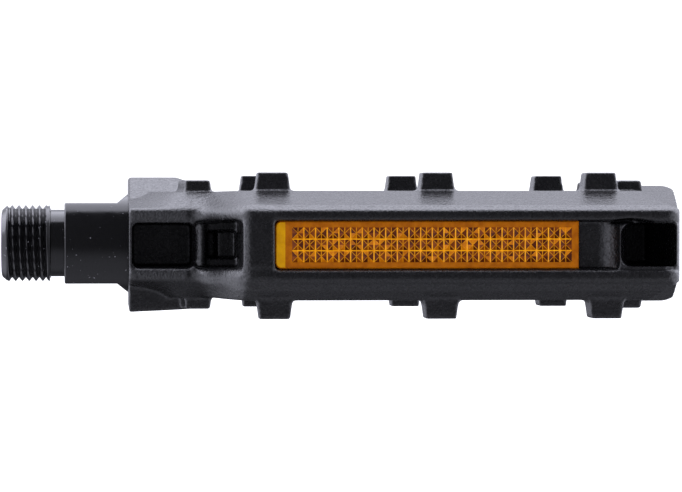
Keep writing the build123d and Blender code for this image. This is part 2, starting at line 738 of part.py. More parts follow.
with BuildPart() as pedal_body:
    add(front_half.part)
    add(front_half.part.rotate(Axis.X, 180))
    # barrel along the spindle
    with BuildSketch(Plane.YZ.offset(BODY_INNER_X + OVERLAP)):
        Circle(BARREL_R)
    extrude(amount=GAP_X[1] - BODY_INNER_X)
    # bores for the two bearings and, between them, for the shaft
    with BuildSketch(Plane.XZ):
        with BuildLine():
            Polyline(
                (BODY_INNER_X - OVERLAP, 0),
                (BODY_INNER_X - OVERLAP, inner_bore_r),
                (INNER_CUP_X[1] + SEAT_CLEARANCE, inner_bore_r),
                (INNER_CUP_X[1] + SEAT_CLEARANCE, BARREL_BORE_R),
                (OUTER_CUP_X[0] - SEAT_CLEARANCE, BARREL_BORE_R),
                (OUTER_CUP_X[0] - SEAT_CLEARANCE, outer_bore_r),
                (BODY_OUTER_X + OVERLAP, outer_bore_r),
                (BODY_OUTER_X + OVERLAP, 0),
                close=True,
            )
        make_face()
    revolve(axis=Axis.X, mode=Mode.SUBTRACT)

pedal_body.part.label = "pedal_body"
export_step(pedal_body.part, "parts/pedal_body.step")


# ------------------------------------------------------------------ reflectors

with BuildPart() as front_reflector_lens:
    with BuildSketch(Plane.XZ.offset(LENS_BACK_Y)):
        with Locations((middle(LENS_X), middle(LENS_Z))):
            Rectangle(length(LENS_X), length(LENS_Z))
        fillet(vertices().group_by(Axis.X)[0], LENS_CORNER_R)
    extrude(amount=LENS_FRONT_Y - LENS_BACK_Y)
    chamfer(faces().sort_by(Axis.Y)[0].edges(), LENS_EDGE)

with BuildPart() as front_reflector_backing:
    with BuildSketch(Plane.XZ.offset(BACKING_BACK_Y)):
        with Locations((middle(LENS_X), middle(LENS_Z))):
            RectangleRounded(
                length(LENS_X) - 2 * BACKING_MARGIN, length(LENS_Z) - 2 * BACKING_MARGIN, LENS_CORNER_R
            )
    extrude(amount=LENS_BACK_Y - BACKING_BACK_Y)
    # screw posts that pass through the web
    with BuildSketch(Plane.XZ.offset(SCREW_POST_END_Y)):
        with Locations(*[(x, 0) for x in screw_xs]):
            Circle(SCREW_POST_R)
    extrude(amount=BACKING_BACK_Y - SCREW_POST_END_Y)
    with BuildSketch(Plane.XZ.offset(SCREW_POST_END_Y)):
        with Locations(*[(x, 0) for x in screw_xs]):
            Circle(SCREW_SHANK_R + SEAT_CLEARANCE)
    extrude(amount=SCREW_TIP_Y + SEAT_CLEARANCE - SCREW_POST_END_Y, mode=Mode.SUBTRACT)

with BuildPart() as front_reflector_screws:
    with BuildSketch(Plane.XZ.offset(CORE_FLOOR_Y)):
        with Locations(*[(x, 0) for x in screw_xs]):
            Circle(SCREW_SHANK_R)
    extrude(amount=SCREW_TIP_Y - CORE_FLOOR_Y)
    with BuildSketch(Plane.XZ.offset(CORE_FLOOR_Y)):
        with Locations(*[(x, 0) for x in screw_xs]):
            Circle(SCREW_HEAD_R)
    extrude(amount=-SCREW_HEAD_HEIGHT)
    head_ends = faces().group_by(Axis.Y)[-1]
    fillet(head_ends.edges(), SCREW_HEAD_HEIGHT / 2)
    # crossed slots in the heads
    with BuildSketch(Plane.XZ.offset(CORE_FLOOR_Y - SCREW_HEAD_HEIGHT)):
        with Locations(*[(x, 0) for x in screw_xs]):
            Rectangle(SCREW_SLOT[0], SCREW_SLOT[1])
            Rectangle(SCREW_SLOT[1], SCREW_SLOT[0])
    extrude(amount=SCREW_SLOT[2], mode=Mode.SUBTRACT)

for name, front in (
    ("reflector_lens", front_reflector_lens),
    ("reflector_backing", front_reflector_backing),
    ("reflector_screws", front_reflector_screws),
):
    front.part.label = "front_" + name
    export_step(front.part, "parts/front_" + name + ".step")
    with BuildPart() as rear:
        add(front.part.rotate(Axis.X, 180))
    rear.part.label = "rear_" + name
    export_step(rear.part, "parts/rear_" + name + ".step")
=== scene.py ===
"""Looks of the resin platform pedal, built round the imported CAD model. Metres, in the CAD frame."""
import math
import bpy
import bmesh
import numpy as np
from mathutils import Matrix, Vector


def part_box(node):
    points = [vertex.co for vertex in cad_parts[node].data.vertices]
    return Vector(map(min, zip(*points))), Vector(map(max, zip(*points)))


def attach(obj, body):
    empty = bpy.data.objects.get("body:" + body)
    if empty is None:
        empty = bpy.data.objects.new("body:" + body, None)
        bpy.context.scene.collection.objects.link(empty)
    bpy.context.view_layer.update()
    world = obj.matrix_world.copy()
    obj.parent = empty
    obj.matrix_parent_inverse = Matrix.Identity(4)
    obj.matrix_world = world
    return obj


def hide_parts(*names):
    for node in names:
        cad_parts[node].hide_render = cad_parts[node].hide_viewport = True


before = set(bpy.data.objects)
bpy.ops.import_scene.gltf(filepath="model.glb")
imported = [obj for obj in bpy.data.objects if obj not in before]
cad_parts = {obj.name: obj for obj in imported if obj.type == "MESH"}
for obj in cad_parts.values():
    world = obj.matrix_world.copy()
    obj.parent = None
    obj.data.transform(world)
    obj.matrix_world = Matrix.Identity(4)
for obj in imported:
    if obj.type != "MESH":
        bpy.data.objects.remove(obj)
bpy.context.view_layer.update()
MM = 0.001


# ------------------------------------------------------------------ helpers for meshes

def new_object(name, vertices, faces):
    mesh = bpy.data.meshes.new(name)
    mesh.from_pydata([tuple(v) for v in vertices], [], faces)
    mesh.validate()
    obj = bpy.data.objects.new(name, mesh)
    bpy.context.scene.collection.objects.link(obj)
    return obj


def apply_modifiers(obj):
    """Bakes an object's modifiers into its mesh."""
    bpy.context.view_layer.update()
    graph = bpy.context.evaluated_depsgraph_get()
    mesh = bpy.data.meshes.new_from_object(obj.evaluated_get(graph))
    obj.modifiers.clear()
    obj.data = mesh


def shade_smooth(obj, angle=None):
    """Smooth shading; with an angle in degrees, edges sharper than it stay sharp."""
    obj.data.shade_smooth()
    if angle is not None:
        obj.data.set_sharp_from_angle(angle=math.radians(angle))


def copy_of(node, name):
    """An editable copy of a CAD node's mesh."""
    obj = bpy.data.objects.new(name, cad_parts[node].data.copy())
    bpy.context.scene.collection.objects.link(obj)
    return obj


def set_material(obj, material):
    obj.data.materials.clear()
    obj.data.materials.append(material)


# ------------------------------------------------------------------ helpers for materials

class Shader:
    """A node material with one Principled shader, built a step at a time."""

    def __init__(self, name, **sockets):
        self.material = bpy.data.materials.new(name)
        self.material.use_nodes = True
        self.tree = self.material.node_tree
        self.surface = self.tree.nodes["Principled BSDF"]
        for socket, value in sockets.items():
            self.surface.inputs[socket.replace("_", " ")].default_value = value

    def node(self, kind, **settings):
        made = self.tree.nodes.new(kind)
        for key, value in settings.items():
            if key in made.inputs:
                made.inputs[key].default_value = value
            else:
                setattr(made, key, value)
        return made

    def link(self, source, target):
        self.tree.links.new(source, target)

    def position(self):
        return self.node("ShaderNodeTexCoord").outputs["Object"]

    def noise(self, scale, detail=2.0, roughness=0.5):
        made = self.node("ShaderNodeTexNoise", Scale=scale, Detail=detail, Roughness=roughness)
        self.link(self.position(), made.inputs["Vector"])
        return made.outputs["Fac"]

    def ramp(self, value, stops):
        made = self.node("ShaderNodeValToRGB")
        elements = made.color_ramp.elements
        while len(elements) < len(stops):
            elements.new(0.5)
        for element, (place, color) in zip(elements, stops):
            element.position = place
            element.color = (*color, 1.0) if isinstance(color, tuple) else (color, color, color, 1.0)
        self.link(value, made.inputs["Fac"])
        return made.outputs["Color"]

    def bump(self, height, strength, distance, normal=None):
        made = self.node("ShaderNodeBump", Strength=strength, Distance=distance)
        self.link(height, made.inputs["Height"])
        if normal is not None:
            self.link(normal, made.inputs["Normal"])
        return made.outputs["Normal"]

    def drive(self, socket, source):
        self.link(source, self.surface.inputs[socket])


# ------------------------------------------------------------------ materials

# noise scales count features in a metre
CLOUD_SCALE = 90.0
SPECK_SCALE = 1500.0
COATING_SCALE = 260.0
SKIN_SCALE = 3000.0
MACHINING_SCALE = 1800.0
RUBBER_SCALE = 2500.0
AMBER_SCALE = 650.0
# the resin's specular level and its roughness, each at its least and its most
SPARKLE = (0.36, 0.72)
RESIN_GLOSS = (0.23, 0.31)
GRAIN_HEIGHT = 0.08 * MM
COARSE_SHARE = 0.3


def moulded_resin(name, tone=0.005, grain_size=0.4, grain=1.0):
    """Black moulded nylon: a spark-eroded grain that glints unevenly, with faint clouding."""
    shader = Shader(name)
    clouds = shader.noise(CLOUD_SCALE, detail=3.0)
    shader.drive("Base Color", shader.ramp(clouds, [
        (0.3, (tone * 0.85, tone * 0.85, tone * 0.95)),
        (0.7, (tone * 1.15, tone * 1.12, tone * 1.3)),
    ]))
    fine = shader.noise(1.0 / (grain_size * MM), detail=2.0, roughness=0.6)
    coarse = shader.noise(COARSE_SHARE / (grain_size * MM), detail=2.0)
    shader.drive("Specular IOR Level", shader.ramp(fine, [(0.32, SPARKLE[0]), (0.68, SPARKLE[1])]))
    shader.drive("Roughness", shader.ramp(coarse, [(0.3, RESIN_GLOSS[0]), (0.7, RESIN_GLOSS[1])]))
    uneven = shader.bump(coarse, strength=0.4, distance=GRAIN_HEIGHT)
    shader.drive("Normal", shader.bump(fine, strength=grain, distance=GRAIN_HEIGHT, normal=uneven))
    return shader.material


def coated_steel(name):
    """Black coated spindle steel, glossier than the resin, with small pale handling specks."""
    shader = Shader(name, Specular_IOR_Level=0.55)
    specks = shader.noise(SPECK_SCALE, detail=1.0)
    shader.drive("Base Color", shader.ramp(specks, [
        (0.73, (0.003, 0.003, 0.0035)),
        (0.79, (0.16, 0.16, 0.18)),
    ]))
    clouds = shader.noise(COATING_SCALE, detail=5.0, roughness=0.65)
    shader.drive("Roughness", shader.ramp(clouds, [(0.35, 0.1), (0.7, 0.2)]))
    ripple = shader.bump(clouds, strength=0.2, distance=0.1 * MM)
    skin = shader.noise(SKIN_SCALE)
    shader.drive("Normal", shader.bump(skin, strength=0.12, distance=0.03 * MM, normal=ripple))
    return shader.material


def bare_steel(name, tone, roughness, scale=MACHINING_SCALE):
    """Ground, pressed or plated steel with a fine uneven finish."""
    shader = Shader(name, Metallic=1.0, Roughness=roughness)
    marks = shader.noise(scale, detail=3.0)
    shader.drive("Base Color", shader.ramp(marks, [
        (0.3, (tone * 0.85, tone * 0.85, tone * 0.87)),
        (0.7, (tone, tone, tone * 1.02)),
    ]))
    shader.drive("Roughness", shader.ramp(marks, [(0.3, roughness * 0.8), (0.7, roughness * 1.25)]))
    shader.drive("Normal", shader.bump(marks, strength=0.08, distance=0.03 * MM))
    return shader.material


def seal_rubber(name):
    """Matt black rubber."""
    shader = Shader(name, Roughness=0.75)
    grain = shader.noise(RUBBER_SCALE, detail=3.0)
    shader.drive("Base Color", shader.ramp(grain, [(0.3, 0.012), (0.7, 0.02)]))
    shader.drive("Normal", shader.bump(grain, strength=0.2, distance=0.04 * MM))
    return shader.material


def amber_plastic(name, dark, light):
    """Clear amber acrylic: its colour deepens and pales a little from place to place."""
    shader = Shader(name, Roughness=0.16, Specular_IOR_Level=0.15)
    clouds = shader.noise(AMBER_SCALE, detail=3.0, roughness=0.6)
    shader.drive("Base Color", shader.ramp(clouds, [(0.36, dark), (0.64, light)]))
    return shader.material


resin = moulded_resin("body_resin")
cap_resin = moulded_resin("cap_resin", tone=0.005, grain_size=0.2, grain=0.3)
backing_resin = moulded_resin("backing_resin", tone=0.01, grain_size=0.2, grain=0.15)
steel_black = coated_steel("spindle_coating")
steel_ground = bare_steel("race_steel", 0.55, 0.28)
steel_polished = bare_steel("ball_steel", 0.8, 0.08, scale=600.0)
steel_pressed = bare_steel("pressed_steel", 0.5, 0.4)
steel_zinc = bare_steel("zinc_plate", 0.62, 0.3)
rubber = seal_rubber("seal_rubber")
amber_border = amber_plastic("amber_border", (0.24, 0.062, 0.0004), (0.33, 0.095, 0.0008))
# the facets' three amber tones are painted shade and painted light, standing in for how each prism facet
# catches the light
amber_facet_painted_shades = [
    amber_plastic("amber_facet_painted_deep_shade", (0.05, 0.008, 0.0005), (0.1, 0.018, 0.001)),
    amber_plastic("amber_facet_painted_shade", (0.115, 0.022, 0.0006), (0.19, 0.042, 0.0008)),
    amber_plastic("amber_facet_painted_light", (0.33, 0.09, 0.001), (0.52, 0.165, 0.002)),
]
# the raised lines and spokes are the lens's own amber; their pale tone is a painted highlight on their
# crests
amber_line_painted_highlight = amber_plastic("amber_line_painted_highlight", (0.68, 0.25, 0.004), (0.92, 0.41, 0.008))
amber_spoke_painted_highlight = amber_plastic("amber_spoke_painted_highlight", (0.5, 0.18, 0.004), (0.75, 0.32, 0.008))
amber_tab = amber_plastic("amber_tab", (0.42, 0.19, 0.0003), (0.5, 0.245, 0.0006))

NODE_MATERIALS = {
    "pedal_body": resin,
    "spindle": steel_black,
    "inner_bearing_cup": steel_ground,
    "outer_bearing_cup": steel_ground,
    "adjusting_cone": steel_ground,
    "inner_balls": steel_polished,
    "outer_balls": steel_polished,
    "inner_ball_cage": steel_pressed,
    "outer_ball_cage": steel_pressed,
    "seal_shield": steel_pressed,
    "inner_dust_seal": rubber,
    "cap_o_ring": rubber,
    "lock_washer": steel_zinc,
    "lock_nut": steel_zinc,
    "dust_cap": cap_resin,
    "front_reflector_lens": amber_border,
    "rear_reflector_lens": amber_border,
    "front_reflector_backing": backing_resin,
    "rear_reflector_backing": backing_resin,
    "front_reflector_screws": steel_zinc,
    "rear_reflector_screws": steel_zinc,
}
for node, material in NODE_MATERIALS.items():
    set_material(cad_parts[node], material)


# ------------------------------------------------------------------ moulded body

# places and sizes in millimetres: x along the spindle, "out" away from it, z from the mid plane
BODY_VOXEL = 0.3
SMOOTHING_FACTOR = 0.5
BODY_SMOOTHING = 3
LIP_SMOOTHING = 7
SWEEP_SMOOTHING = 45
HOLLOW_SMOOTHING = 20

LIP_MIDDLE_Z = 5.4
LIP_HALF_HEIGHT = 1.2
LIP_ROUND = 0.7
LIP_ROUND_REACH = 1.2
LIP_DEPTH = 2.0
NOSE_END_Z = (6.6, 9.0)
TURN_IN = 1.2
TURN_IN_X = (30.0, 37.0)
ARM_X = (11.9, 23.5, 33.0)
ARM_OUT = (28.5, 32.0, 47.0)
ARM_FADE_X = (28.0, 34.0)
ARM_NOSE = 0.5

CHANNEL_EDGE_Z = 3.8
CRISP_EDGE_Z = 4.9
LIP_EDGE_Z = 7.4
RAIL_START_X = 32.0
RAIL_LIP_OUT = 45.0
ARM_LIP_OUT = 28.2
SWEEP_X = (22.5, 37.5)
SWEEP_TOP_Z = 8.8
SADDLES_X = ((31.0, 36.0), (93.0, 99.5))
SADDLE_OUT = 42.5
RIB_X = (22.8, 25.8)
RIB_OUT = 24.5


def vertex_array(obj):
    places = np.empty(len(obj.data.vertices) * 3)
    obj.data.vertices.foreach_get("co", places)
    return places.reshape(-1, 3)


def vertex_places(obj):
    """Every vertex in millimetres: x, distance out from the spindle, and height as its own rail sees it."""
    x, y, z = vertex_array(obj).T / MM
    return x, np.abs(y), np.where(y < 0, z, -z)


def between(values, span):
    return (values > span[0]) & (values < span[1])


def fade(values, span):
    """A straight fall from 1 to 0 as the values pass from one end of a span to the other."""
    return np.clip((span[1] - values) / (span[1] - span[0]), 0.0, 1.0)


def soften(obj, name, iterations, chosen=None):
    """Rounds an object's edges, or only those among the chosen vertices."""
    smooth = obj.modifiers.new(name, "SMOOTH")
    smooth.factor = SMOOTHING_FACTOR
    smooth.iterations = iterations
    if chosen is not None:
        group = obj.vertex_groups.new(name=name)
        group.add(np.flatnonzero(chosen).tolist(), 1.0, "REPLACE")
        smooth.vertex_group = name


def arm_front(x):
    """How far out the lips stand along the arm, where it widens slowly and then sweeps out to the rail."""
    sweep = np.clip((x - ARM_X[1]) / (ARM_X[2] - ARM_X[1]), 0.0, 1.0)
    arm = np.interp(x, ARM_X[:2], ARM_OUT[:2])
    return arm + (ARM_OUT[2] - ARM_OUT[1]) * sweep ** 2 * (3.0 - 2.0 * sweep)


def lip_swell(x, out, z):
    """Outward move in millimetres that gives the flat lips a rounded nose.

    The rail's lips are cut back, so they stay inside the CAD box, and the arm's are filled out.
    """
    from_mid_plane = np.abs(z)
    height = (from_mid_plane - LIP_MIDDLE_Z) / LIP_HALF_HEIGHT
    near_front = np.clip((out - arm_front(x) + LIP_DEPTH) / LIP_ROUND_REACH, 0.0, 1.0)
    on_lip = (from_mid_plane > CHANNEL_EDGE_Z) * fade(from_mid_plane, NOSE_END_Z)
    arm = fade(x, ARM_FADE_X)
    rail_nose = -LIP_ROUND * np.minimum(height ** 4, 1.0) - TURN_IN * fade(x, TURN_IN_X) ** 2
    arm_nose = ARM_NOSE * np.maximum(1.0 - height ** 2, 0.0)
    return on_lip * near_front * (arm * arm_nose + (1.0 - arm) * rail_nose)


def softened_body():
    """The CAD body with a moulding's small radii, larger on its lips and where the arm sweeps out."""
    body = copy_of("pedal_body", "moulded_body")
    remesh = body.modifiers.new("remesh", "REMESH")
    remesh.mode = "VOXEL"
    remesh.voxel_size = BODY_VOXEL * MM
    apply_modifiers(body)
    x, out, z = vertex_places(body)
    height = np.abs(z)
    rail_lips = (x > RAIL_START_X) & (out > RAIL_LIP_OUT) & (height > CRISP_EDGE_Z)
    arm_lips = (x <= RAIL_START_X) & (out > ARM_LIP_OUT) & between(height, (CHANNEL_EDGE_Z, LIP_EDGE_Z))
    sweep = between(x, SWEEP_X) & (out > ARM_LIP_OUT) & between(height, (CHANNEL_EDGE_Z, SWEEP_TOP_Z))
    saddles = (between(x, SADDLES_X[0]) | between(x, SADDLES_X[1])) & (out > SADDLE_OUT)
    rib = between(x, RIB_X) & (out > RIB_OUT)
    hollows = (saddles | rib) & (height < CHANNEL_EDGE_Z)
    places = vertex_array(body)
    places[:, 1] += np.sign(places[:, 1]) * lip_swell(x, out, z) * MM
    body.data.vertices.foreach_set("co", places.ravel())
    soften(body, "everywhere", BODY_SMOOTHING)
    soften(body, "lips", LIP_SMOOTHING, rail_lips | arm_lips)
    soften(body, "sweep", SWEEP_SMOOTHING, sweep)
    soften(body, "hollows", HOLLOW_SMOOTHING, hollows)
    apply_modifiers(body)
    body.vertex_groups.clear()
    shade_smooth(body)
    set_material(body, resin)
    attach(body, "platform")
    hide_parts("pedal_body")


softened_body()


# ------------------------------------------------------------------ crank end of the spindle

# places and radii in millimetres
THREAD_R = 7.144
THREAD_ROOT_R = 6.42
THREAD_PITCH = 1.27
THREAD_TIP_X = -11.8
THREAD_END_X = -2.8
THREAD_START_X = -10.9
THREAD_FADE = 0.7
THREAD_CREST = 0.1
THREAD_STEPS = 20
TIP_R = 6.2
TIP_EDGE = ((0.0, 0.35), (0.05, 0.12))
TIP_CHAMFER_X = -10.7
CHAMFER_BLEND = 0.25
FIRST_THREAD_RING = 0.15
NECK_R = 6.28
NECK_CORNER = ((0.05, 0.4), (0.25, 0.0))
SHOULDER_FILLET = 0.1
COLLAR_R = 9.3
COLLAR_END_X = 12.4
COLLAR_EDGE = 0.35
COLLAR_EDGE_STEPS = 6
FLAT_Z = 7.55
FLAT_END_X = 9.8
FLAT_BLEND = 0.12
RUNOUT_END_X = 11.9
RUNOUT_STEPS = 24
CENTRE_HOLE_R = 1.4
CENTRE_HOLE_DEPTH = 1.8
CLOSING_R = 0.05
SPINDLE_SEGMENTS = 240


def share_of(value, start, length):
    """How much of a length a value has covered from its start, from 0 to 1."""
    return min(max((value - start) / length, 0.0), 1.0)


def soft_min(first, second, blend):
    """The smaller of two values, with a rounded corner where they cross."""
    share = max(blend - abs(first - second), 0.0) / blend
    return min(first, second) - share * share * blend / 4


def thread_r(x, turn):
    """Radius of the right-hand thread: its ridges advance by one pitch in a turn about +X."""
    place = (x - THREAD_PITCH * turn / (2 * math.pi)) / THREAD_PITCH
    from_crest = abs(place - round(place)) * 2
    flank = max(from_crest - THREAD_CREST, 0.0) / (1 - THREAD_CREST)
    to_full = share_of(x, THREAD_START_X, THREAD_FADE) * share_of(-x, -THREAD_END_X, THREAD_FADE)
    radius = THREAD_R - (THREAD_R - THREAD_ROOT_R) * flank * to_full
    chamfer = TIP_R + (THREAD_R - TIP_R) * (x - THREAD_TIP_X) / (TIP_CHAMFER_X - THREAD_TIP_X)
    return soft_min(radius, chamfer, CHAMFER_BLEND)


def collar_r(x, turn):
    """Radius of the collar with its two spanner flats, their run-out and its rounded edge."""
    run_out = share_of(x, FLAT_END_X, RUNOUT_END_X - FLAT_END_X)
    flat = FLAT_Z + (COLLAR_R - FLAT_Z) * run_out
    height = abs(math.sin(turn))
    across = flat / height if height > 0.01 else COLLAR_R * 2
    radius = soft_min(COLLAR_R, across, FLAT_BLEND)
    if x < COLLAR_EDGE:
        radius -= COLLAR_EDGE - math.sqrt(COLLAR_EDGE ** 2 - (COLLAR_EDGE - x) ** 2)
    return radius


def spindle_rings():
    """The crank end's rings from the tip to the collar's back: each one's x, and its radius or its rule."""
    thread_step = THREAD_PITCH / THREAD_STEPS
    thread_count = round((THREAD_END_X - THREAD_TIP_X) / thread_step) - 2
    thread_start = THREAD_TIP_X + FIRST_THREAD_RING
    run_out = RUNOUT_END_X - FLAT_END_X
    quarter = math.pi / 2
    rings = [(THREAD_TIP_X + CENTRE_HOLE_DEPTH, CLOSING_R), (THREAD_TIP_X, CENTRE_HOLE_R)]
    rings += [(THREAD_TIP_X + along, TIP_R - below) for along, below in TIP_EDGE]
    rings += [(thread_start + step * thread_step, thread_r) for step in range(thread_count)]
    rings.append((THREAD_END_X, thread_r))
    rings += [(THREAD_END_X + along, NECK_R + above) for along, above in NECK_CORNER]
    rings += [(-SHOULDER_FILLET, NECK_R), (0.0, NECK_R + SHOULDER_FILLET)]
    for step in range(COLLAR_EDGE_STEPS + 1):
        rings.append((COLLAR_EDGE * (1 - math.cos(quarter * step / COLLAR_EDGE_STEPS)), collar_r))
    rings += [(FLAT_END_X + run_out * step / RUNOUT_STEPS, collar_r) for step in range(RUNOUT_STEPS + 1)]
    return rings + [(COLLAR_END_X, collar_r), (COLLAR_END_X, CLOSING_R)]


def spindle_end():
    """The crank end as one closed skin of rings along the axis."""
    rings = spindle_rings()
    vertices = []
    for x, radius in rings:
        for segment in range(SPINDLE_SEGMENTS):
            turn = 2 * math.pi * segment / SPINDLE_SEGMENTS
            r = radius(x, turn) if callable(radius) else radius
            vertices.append((x * MM, r * math.cos(turn) * MM, r * math.sin(turn) * MM))
    faces = []
    for ring in range(len(rings) - 1):
        for segment in range(SPINDLE_SEGMENTS):
            after = (segment + 1) % SPINDLE_SEGMENTS
            low = ring * SPINDLE_SEGMENTS
            high = low + SPINDLE_SEGMENTS
            faces.append((low + segment, low + after, high + after, high + segment))
    faces.append(tuple(range(SPINDLE_SEGMENTS)))
    last = (len(rings) - 1) * SPINDLE_SEGMENTS
    faces.append(tuple(last + segment for segment in range(SPINDLE_SEGMENTS)))
    obj = new_object("spindle_crank_end", vertices, faces)
    tidy_normals(obj)
    shade_smooth(obj, 40)
    set_material(obj, steel_black)
    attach(obj, "spindle")
    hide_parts("spindle")


def tidy_normals(obj):
    mesh = bmesh.new()
    mesh.from_mesh(obj.data)
    bmesh.ops.recalc_face_normals(mesh, faces=mesh.faces)
    mesh.to_mesh(obj.data)
    mesh.free()


def spindle_shaft():
    """The CAD spindle from the collar's back face outwards, inside the body.

    The copied faces aren't welded to each other, so holes_fill also closes edges away from the cut.
    """
    obj = copy_of("spindle", "spindle_shaft")
    mesh = bmesh.new()
    mesh.from_mesh(obj.data)
    bmesh.ops.bisect_plane(
        mesh,
        geom=mesh.verts[:] + mesh.edges[:] + mesh.faces[:],
        plane_co=(COLLAR_END_X * MM, 0, 0),
        plane_no=(1, 0, 0),
        clear_inner=True,
    )
    mesh.normal_update()
    open_edges = [edge for edge in mesh.edges if edge.is_boundary]
    bmesh.ops.holes_fill(mesh, edges=open_edges)
    mesh.to_mesh(obj.data)
    mesh.free()
    shade_smooth(obj, 30)
    set_material(obj, steel_ground)
    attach(obj, "spindle")
    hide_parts("spindle")


spindle_end()
spindle_shaft()


# ------------------------------------------------------------------ reflectors

# places and sizes in millimetres
PRISM_MARGIN_LEFT = 2.95
PRISM_MARGIN_RIGHT = 1.25
PRISM_MARGIN_TOP = 1.1
PRISM_COLUMNS = 24
PRISM_ROWS = 3
PRISM_RECESS = 0.2
PRISM_DEPTH = 0.35
PRISM_LINE = 0.1
PRISM_SPOKE = 0.06
TAB_WIDTH = 1.75
TAB_LINE = (2.3, 2.5)
LENS_CORNER_R = 1.05
LENS_CORNER_STEPS = 8
LENS_EDGE = 0.2
# the lens's own amber border, its painted facet shades and lights, its painted highlight for lines and
# spokes, and its tab
LENS_MATERIALS = [amber_border, *amber_facet_painted_shades, amber_line_painted_highlight, amber_spoke_painted_highlight, amber_tab]
# how often each painted facet shade or light is given
PAINTED_FACET_SHADE_SHARES = [0.45, 0.4, 0.15]
FIRST_FACET_INDEX = 1
LINE_INDEX = 4
SPOKE_INDEX = 5
TAB_INDEX = 6


def lens_outline(x_span, z_span, xs, inset):
    """The lens seen from the front, as (x, z), rounded at its low x corners.

    It runs round from the bottom's low x end, with a point at each of the given xs top and bottom.
    """
    x0, x1 = x_span[0] + inset, x_span[1] - inset
    z0, z1 = z_span[0] + inset, z_span[1] - inset
    r = LENS_CORNER_R - inset
    points = [(x, z0) for x in xs] + [(x1, z0), (x1, z1)] + [(x, z1) for x in reversed(xs)]
    for centre_z, start in ((z1 - r, 90), (z0 + r, 180)):
        for step in range(LENS_CORNER_STEPS + 1):
            angle = math.radians(start + 90 * step / LENS_CORNER_STEPS)
            points.append((x0 + r + r * math.cos(angle), centre_z + r * math.sin(angle)))
    return points


def add_loop(mesh, points, y):
    """New vertices at (x, z) points in millimetres, all at one distance y."""
    return [mesh.verts.new((x * MM, y * MM, z * MM)) for x, z in points]


def bridge(mesh, first, second):
    """Faces between two closed loops of equally many vertices."""
    for i in range(len(first)):
        mesh.faces.new((first[i - 1], first[i], second[i], second[i - 1]))


def add_ridge(mesh, start, end, half_width, height, material_index):
    """A thin raised line with a pointed crest, from one point of the lens to another."""
    along = (end - start).normalized()
    across = along.cross(Vector((0, -1, 0))).normalized() * half_width
    lift = across.cross(along).normalized() * height
    if lift.y > 0:
        lift = -lift
    offsets = (across, lift, -across, -lift)
    near, far = [[mesh.verts.new(place + offset) for offset in offsets] for place in (start, end)]
    for k in range(4):
        face = mesh.faces.new((near[k], near[k - 1], far[k - 1], far[k]))
        face.material_index = material_index
    for end_ring in (near, far):
        mesh.faces.new(end_ring).material_index = material_index


def prism_field(mesh, x_span, z_span, y):
    """Rows of square cells, each a shallow hollow cut into eight facets, with raised lines between them.
    Each facet takes a painted shade or painted light at random, and the lines take a painted highlight
    colour.
    """
    cell_x = (x_span[1] - x_span[0]) / PRISM_COLUMNS
    cell_z = (z_span[1] - z_span[0]) / PRISM_ROWS
    right, top = 2 * PRISM_COLUMNS, 2 * PRISM_ROWS
    places, grid = {}, {}
    for i in range(right + 1):
        for j in range(top + 1):
            depth = PRISM_DEPTH if i % 2 == 1 and j % 2 == 1 else 0.0
            place = (x_span[0] + i * cell_x / 2, y + depth, z_span[0] + j * cell_z / 2)
            places[i, j] = Vector(place) * MM
            grid[i, j] = mesh.verts.new(places[i, j])
    chance = np.random.default_rng(7)
    ring = [(0, 0), (1, 0), (2, 0), (2, 1), (2, 2), (1, 2), (0, 2), (0, 1)]
    upright_or_slanting = [(0, 0), (1, 0), (2, 0), (2, 2), (1, 2), (0, 2)]
    for i in range(0, right, 2):
        for j in range(0, top, 2):
            for k in range(8):
                (a, b), (c, d) = ring[k], ring[(k + 1) % 8]
                face = mesh.faces.new((grid[i + 1, j + 1], grid[i + a, j + b], grid[i + c, j + d]))
                # each facet takes one painted shade or painted light at random
                face.material_index = FIRST_FACET_INDEX + int(chance.choice(3, p=PAINTED_FACET_SHADE_SHARES))
            # the spokes carry the painted highlight colour
            for a, b in upright_or_slanting:
                start, end = places[i + a, j + b], places[i + 1, j + 1]
                add_ridge(mesh, start, end, PRISM_SPOKE * MM, PRISM_SPOKE * MM, SPOKE_INDEX)
    # the lines between cells carry the painted highlight colour
    for j in range(2, top, 2):
        add_ridge(mesh, places[0, j], places[right, j], PRISM_LINE * MM, PRISM_LINE * MM, LINE_INDEX)
    for i in range(2, right, 2):
        add_ridge(mesh, places[i, 0], places[i, top], PRISM_LINE * MM, PRISM_LINE * MM, LINE_INDEX)
    border = [grid[i, 0] for i in range(right)] + [grid[right, j] for j in range(top)]
    return border + [grid[i, top] for i in range(right, 0, -1)] + [grid[0, j] for j in range(top, 0, -1)]


